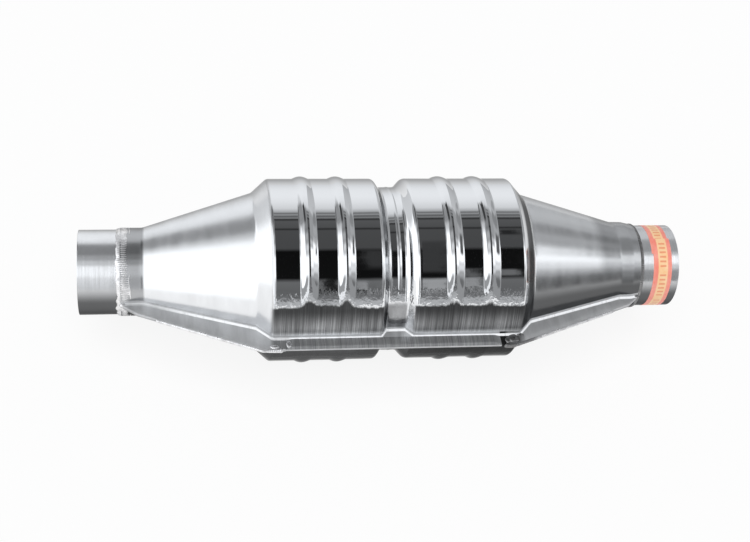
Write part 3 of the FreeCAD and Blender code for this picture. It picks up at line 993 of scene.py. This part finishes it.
def flange_colour(g, at):
    """The flange: plain and greyer than the wall, darker on the fold, and with a painted shadow by the fold's
    outlet end.
    """
    flange = g.greys(at.grain, 0.5, 0.66)
    on_fold = g.times(at.on_flange, g.span_mm(at.z, *fold_top), at.body,
                      g.span_mm(at.beside, fold_layer_edge - 0.5, fold_layer_edge - 0.1))
    flange = g.mix(on_fold, flange, g.greys(at.streaks, 0.2, 0.44, 0.2, 1))
    # Painted shadow on the flange by the fold's outlet end.
    painted_shadow = g.times(g.span_mm(at.x, fold_end - 0.5, fold_end),
                    g.span_mm(at.x, *[fold_end + reach for reach in shadow_fade], 1, 0.35),
                    g.span_mm(at.x, outlet_chamber_end + 1, outlet_chamber_end - 1))
    return g.mix(painted_shadow, flange, grey(0.02))


def root_highlight(g, at):
    """A painted highlight: the bright line where the upper flange bends up into the wall."""
    by_fold_end = g.band_mm(at.x, -88, -84, -74, -70)
    return g.times(g.band_mm(at.from_wall, *root_highlight_reach), g.span_mm(at.z, 0, 1),
                   g.span(at.coarse, 0.25, 0.5, 0.55, 1), g.span_mm(at.x, -170, -125, 0.25, 1),
                   g.rest(g.times(by_fold_end, root_highlight_dim)))


def pressed_steel():
    """Bright pressed sheet: a mirror on the chambers, scratched near the flange and satin on the cones."""
    g = new_material("pressed_stainless")
    at = sheet_zones(g)
    root_highlight_share = root_highlight(g, at)
    off_mirror = g.mix(at.on_flange, wall_colour(g, at), flange_colour(g, at))
    colour = g.mix(at.mirror, off_mirror, grey(mirror_level))
    # Painted highlight: a near white line along the flange's root, which also takes some metal out of the
    # surface there.
    colour = g.mix(root_highlight_share, colour, grey(0.97))
    # Painted shade: the pressings darken towards their under side, more towards the outlet.
    underside_shade = g.greys(g.span_mm(at.x, -50, 60), 0.07, 0.015, 0, 1)
    colour = g.mix(underside_shade_share(g, at.z, 1.1, -4), colour, underside_shade)

    scratched = g.times(g.math("MAXIMUM", at.scraped, at.on_flange), g.rest(at.mirror))
    off_roughness = g.mix_values(scratched, g.span(at.grain, 0.3, 0.7, 0.17, 0.25),
                                 g.span(at.scratches, 0.2, 0.8, 0.32, 0.48))
    roughness = g.mix_values(at.mirror, off_roughness, mirror_roughness)
    metallic = g.math("SUBTRACT", g.span(scratched, 0, 1, 1, 0.66), root_highlight_share)
    crumpled = g.times(at.body, g.span(at.angle, 36, 30))
    normal = g.bump(g.times(at.scratches, scratched), 0.12)
    normal = g.bump(g.noise(at.place, 420, 3), 0.01, 0.25, Normal=normal)
    normal = g.bump(g.times(g.noise(at.place, 260, 2), crumpled), 0.2, 1, Normal=normal)
    return finish_metal(g, colour, roughness, normal, g.math("MAXIMUM", metallic, 0))


def tube_steel():
    """Satin drawn tube with fine marks round it, and painted shade towards its under side."""
    g = new_material("tube_stainless")
    place = g.place()
    rings = g.noise(g.stretched(place, (700, 20, 20)), 1, 4, 0.6)
    colour = g.greys(g.noise(place, 60), 0.84, 0.92)
    # Painted shade: the stub darkens towards its under side.
    colour = g.mix(underside_shade_share(g, g.parts(place)[2], 20, 0), colour, grey(0.03))
    return finish_metal(g, colour, g.span(rings, 0.3, 0.7, 0.15, 0.24), g.bump(rings, 0.02, 0.4))


def weld_metal():
    """Weld bead in light and dark patches, slightly straw tinted, with painted shadow near the fold's outlet
    end and at the outlet neck.
    """
    g = new_material("weld_metal")
    place = g.place()
    x = g.parts(place)[0]
    patches = g.noise(place, 260, 4)
    plain = g.shades(patches, rgb(0.62, 0.62, 0.63), rgb(0.96, 0.96, 0.97), 0.3, 0.55)
    colour = g.mix(g.span(g.noise(place, 45, 2), 0.55, 0.8, 0, 0.2), plain, rgb(0.55, 0.46, 0.36))
    # Painted shadow on the bead near the fold's outlet end and at the outlet neck.
    painted_shadow = g.times(g.span_mm(x, 50, 80, 0, 0.75), g.span_mm(x, 96, 108, 1, 0.15))
    painted_shadow = g.math("MAXIMUM", painted_shadow, g.span_mm(x, 175, 180, 0, 0.75))
    colour = g.mix(painted_shadow, colour, rgb(0.08, 0.08, 0.08))
    return finish_metal(g, colour, g.span(patches, 0.3, 0.7, 0.42, 0.24), g.bump(patches, 0.08, 0.5))


def knitted_wire():
    """Knitted wire pressed into a ring: crossed strands with dark gaps."""
    g = new_material("knitted_wire")
    place = g.place()
    strands = []
    for lean, scale in (((1, 1, 1), 260), ((-1, 1, -1), 240)):
        inputs = {"Vector": g.stretched(place, lean), "Scale": scale, "Distortion": 3}
        strands.append(g.add("TexWave", inputs, bands_direction="DIAGONAL").outputs[1])
    strand = g.math("MAXIMUM", *strands)
    colour = g.shades(strand, rgb(0.05, 0.05, 0.05), rgb(0.5, 0.5, 0.51), 0.35, 0.8)
    return finish_metal(g, colour, g.span(strand, 0.3, 0.9, 0.6, 0.35), g.bump(strand, 0.2, 0.8))


def coated_ceramic():
    """Matt ceramic with a brown-grey coating, a little darker in its pores."""
    g = new_material("coated_ceramic")
    place = g.place()
    pores = g.noise(place, 900, 4, 0.7)
    patches = g.noise(place, 40, 2)
    colour = g.shades(patches, rgb(0.4, 0.33, 0.25), rgb(0.56, 0.48, 0.38), 0.35, 0.65)
    colour = g.mix(g.span(pores, 0.35, 0.5, 0.5, 0), colour, rgb(0.2, 0.16, 0.12))
    return finish(g, colour, g.span(pores, 0.3, 0.7, 0.95, 0.8), g.bump(pores, 0.1, 0.5))


def fibre_mat():
    """Pale fibre mat with fine strands and golden mica flecks."""
    g = new_material("fibre_mat")
    place = g.place()
    strands = g.noise(g.stretched(place, (1500, 300, 300)), 1, 5, 0.7)
    flecks = g.add("TexVoronoi", {"Vector": place, "Scale": 500}).outputs[0]
    colour = g.shades(strands, rgb(0.55, 0.49, 0.38), rgb(0.8, 0.75, 0.63))
    colour = g.mix(g.span(flecks, 0, 0.25, 0.8, 0), colour, rgb(0.55, 0.36, 0.12))
    return finish(g, colour, g.span(strands, 0.3, 0.7, 0.98, 0.85), g.bump(strands, 0.3, 0.7))


# Print on the label: the stripe's middle and half width as shares of the strip, and the bars' spacing
stripe_middle = 0.52
stripe_half = (0.24, 0.29)
bar_half = (0.15, 0.19)
bar_pitch = 3.4
bar_group = 7 * bar_pitch


def label_paper():
    """Orange-red strip with a yellow middle stripe, where plain bars stand in a row."""
    g = new_material("label_paper")
    across, along = [g.add("Attribute", attribute_name=name).outputs["Fac"] for name in ("across", "along")]
    wear = g.noise(g.place(), 160, 4, 0.7)
    ragged = g.times(g.math("SUBTRACT", wear, 0.5), 0.06)
    from_middle = g.math("ABSOLUTE", g.math("SUBTRACT", g.plus(across, ragged), stripe_middle))
    red = g.shades(wear, rgb(0.9, 0.25, 0.19), rgb(0.93, 0.37, 0.3), 0.35, 0.65)
    yellow = g.shades(wear, rgb(0.95, 0.56, 0.27), rgb(0.96, 0.7, 0.44))
    colour = g.mix(g.span(from_middle, *stripe_half, 1, 0), red, yellow)
    pitch, group = [g.math("FRACT", g.math("DIVIDE", along, length)) for length in (bar_pitch, bar_group)]
    bar = g.times(g.band(pitch, 0.18, 0.26, 0.58, 0.66), g.span(group, 0.14, 0.15),
                  g.span(from_middle, *bar_half, 1, 0))
    colour = g.mix(g.times(bar, 0.75), colour, rgb(0.8, 0.24, 0.13))
    return finish(g, colour, g.span(wear, 0.3, 0.7, 0.32, 0.5), g.bump(wear, 0.04, 0.4))


# The room round the object. An angle goes from the near horizon over the top to the far one, and a
# direction's X is its share of the way to the left, below 0, or to the right.
room_top = 1.4
room_wall = [
    (0, 0.5), (6, 0.44), (9, 0.24), (12, 0.15), (20, 0.13), (31, 0.15), (36, 0.006),
    (69, 0.005), (73, 0.07), (96, 0.075), (98, 0.02), (100, 0.085), (109, 0.1), (112, 0.02),
    (114, 0.24), (116.5, 0.1), (119, 0.34), (121, 0.14), (123.5, 0.44), (129, 0.72),
    (140, 0.87), (150, 0.95), (165, 1), (180, 1),
]
# The things in the room: lowest and highest X and the softness there, and for each thing in between them
# the lowest and highest angle, the level and the softness in angle. Later ones lie over earlier ones.
room_things = [
    (-2, 0.02, 0.03, [(-20, 34, 0.35, 6)]),
    (-0.14, 0.02, 0.03, [(-20, 42, 0.95, 8)]),
    (-2, 0.02, 0.03, [(34, 66, 1.25, 6)]),
    (-0.36, 0.02, 0.03, [(66, 80, 0.75, 6), (80, 95, 0.44, 6), (95, 128, 0.26, 6)]),
    (-0.34, -0.16, 0.02, [(108, 136, 0.05, 4)]),
    (-2, -0.36, 0.03, [(66, 72, 0.6, 6), (72, 98, 0.33, 6)]),
    (-2, -0.36, 0.04, [(98, 112, 0.6, 8), (112, 146, 0.3, 9), (146, 200, 0.7, 9)]),
    (-0.74, -0.4, 0.03, [(-20, 66, 1.35, 8)]),
    (-0.62, -0.42, 0.03, [(60, 98, 1.3, 9)]),
    (-0.74, -0.58, 0.03, [(60, 112, 1.3, 9)]),
    (-2, -0.74, 0.03, [(-20, 150, 1.35, 8)]),
    (0.29, 2, 0.01, [(-20, 34, 0.32, 6), (34, 48, 0.75, 6)]),
    (0.29, 0.62, 0.01, [(48, 76, 1.25, 5), (76, 87, 0.6, 5), (87, 128, 0.36, 5), (128, 200, 0.58, 8)]),
    (0.62, 2, 0.03, [(-20, 28, 0.16, 8), (28, 42, 0.42, 6), (42, 54, 0.85, 6), (54, 88, 1.25, 6),
                       (88, 97, 0.6, 8), (95, 118, 0.42, 8), (118, 140, 0.26, 8), (140, 200, 0.38, 8)]),
    (0.77, 0.88, 0.015, [(70, 104, 0.12, 4)]),
    (0.9, 2, 0.02, [(20, 120, 1.2, 8)]),
    (0.119, 0.132, 0.002, [(16, 38, 0.006, 3)]),
    (0.144, 0.156, 0.003, [(13, 32, 0.3, 3)]),
    (0.15, 0.166, 0.004, [(48, 70, 0.04, 4)]),
    (0.188, 0.207, 0.003, [(42, 80, 0.045, 4)]),
    (0.189, 0.206, 0.003, [(14, 33, 0.36, 2)]),
    (0.222, 0.23, 0.003, [(14, 34, 0.34, 2)]),
    (0.224, 0.231, 0.002, [(34, 46, 0.14, 2)]),
    (0.246, 0.262, 0.003, [(36, 44, 0.16, 2), (88, 95, 0.02, 2)]),
]

# How far the edges of the things sway in X and in angle, the light on surfaces that don't mirror, the share
# of the floor's own white in view, and the lamp
x_sway, angle_sway = 0.02, 5
room_soft_light = 0.3
floor_glow = 0.88
floor_reach = 6
sun_energy = 2.1
sun_width = 50
sun_lean = (24, -8)
WHITE = (1, 1, 1, 1)


def make_world():
    """A studio room: white far side, dark ceiling and near side, and bright windows to the left and right."""
    world = bpy.data.worlds.new("studio_room")
    bpy.context.scene.world = world
    world.use_nodes = True
    g = Graph(world.node_tree)
    place = g.add("TexCoord").outputs["Generated"]
    x, y, z = g.parts(place)
    angle = g.math("ABSOLUTE", g.math("DEGREES", g.math("ARCTAN2", z, g.times(y, -1))))
    stops = [(a / 180, grey(level / room_top)) for a, level in room_wall]
    colour = g.ramp(g.math("DIVIDE", angle, 180), stops)
    sway = g.math("SUBTRACT", g.noise(g.stretched(place, (3, 1, 1)), 7, 4, 0.65), 0.5)
    at_x = g.plus(x, g.times(sway, x_sway))
    at_angle = g.plus(angle, g.times(sway, angle_sway))
    for x_low, x_high, x_soft, things in room_things:
        beside = g.window(at_x, x_low, x_high, x_soft)
        for low, high, level, soft in things:
            here = g.times(beside, g.window(at_angle, low, high, soft))
            colour = g.mix(here, colour, grey(level / room_top))
    path = g.add("LightPath").outputs
    soft_light = g.add("Background", {"Color": grey(room_soft_light)}).outputs[0]
    room = g.add("Background", {"Color": colour, "Strength": room_top}).outputs[0]
    backdrop = g.add("Background", {"Color": WHITE}).outputs[0]
    lit = g.add("MixShader", {0: path["Is Diffuse Ray"], 1: room, 2: soft_light}).outputs[0]
    seen = g.add("MixShader", {0: path["Is Camera Ray"], 1: lit, 2: backdrop}).outputs[0]
    g.add("OutputWorld", {"Surface": seen})


def make_floor():
    """A wide white floor under the object, which keeps its shadow and is partly white by itself."""
    low = cad_bounds[0].z
    corners = [(a * floor_reach, b * floor_reach, low) for a, b in ((-1, -1), (1, -1), (1, 1), (-1, 1))]
    mesh = bpy.data.meshes.new("floor")
    mesh.from_pydata(corners, [], [(0, 1, 2, 3)])
    floor = add_object("floor", mesh)
    g = new_material("floor")
    plain = g.add("BsdfDiffuse", {"Color": rgb(0.92, 0.92, 0.92)}).outputs[0]
    white = g.add("Emission", {"Color": WHITE}).outputs[0]
    path = g.add("LightPath").outputs
    seen = g.math("MAXIMUM", path["Is Camera Ray"], path["Is Glossy Ray"])
    seen = g.math("MAXIMUM", seen, path["Is Transmission Ray"])
    both = g.add("MixShader", {0: g.times(seen, floor_glow), 1: plain, 2: white}).outputs[0]
    g.add("OutputMaterial", {"Surface": both})
    mesh.materials.append(g.material)
    g.material.cycles.emission_sampling = "NONE"


def make_lamp():
    """A broad soft lamp from above and a little from the near side, for the surfaces that don't mirror."""
    lamp = bpy.data.lights.new("overhead", "SUN")
    lamp.energy = sun_energy
    lamp.angle = math.radians(sun_width)
    top = add_object("overhead", lamp)
    top.rotation_euler = (math.radians(sun_lean[0]), math.radians(sun_lean[1]), 0)
    top.visible_glossy = False


# Camera, from the photograph's perspective
focal_pixels = 1330
image_width = 750
camera_place = (-156.8, -654.5, 699.3)
camera_right = (0.9876, -0.1163, 0.1055)
camera_up = (0.0129, 0.7299, 0.6834)
camera_back = (-0.1564, -0.6736, 0.7223)


def make_camera():
    """The camera at the photograph's place, with its perspective."""
    camera = bpy.data.cameras.new("camera")
    camera.sensor_width = 36
    camera.lens = focal_pixels / image_width * camera.sensor_width
    camera.clip_start, camera.clip_end = 0.05, 50
    holder = add_object("camera", camera)
    turn = Matrix((camera_right, camera_up, camera_back)).transposed()
    holder.matrix_world = Matrix.Translation(Vector(camera_place) * MM) @ turn.to_4x4()
    bpy.context.scene.camera = holder


def assign(names, slot_material):
    """Gives carried-over solids a better material."""
    for name in names:
        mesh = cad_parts[name].data
        mesh.materials.clear()
        mesh.materials.append(slot_material)


def main():
    bpy.context.scene.view_settings.view_transform = "Standard"
    make_camera()
    make_world()
    make_floor()
    make_lamp()
    steel = pressed_steel()
    xs = section_places(casing_line())
    upper_shell(xs, steel)
    lower_shell(xs, steel)
    tube = tube_steel()
    weld = weld_metal()
    for place in ("inlet", "outlet"):
        pipe(place, tube)
        pipe_weld(place, weld)
        for side in (-1, 1):
            seam_weld(side, place, weld)
    ceramic = coated_ceramic()
    for name in brick_boxes:
        honeycomb(name, ceramic)
    label(label_paper())
    assign(["inlet_mat", "outlet_mat"], fibre_mat())
    seals = [place + "_brick_" + end + "_seal" for place in ("inlet", "outlet") for end in ("front", "rear")]
    assign(seals, knitted_wire())


main()
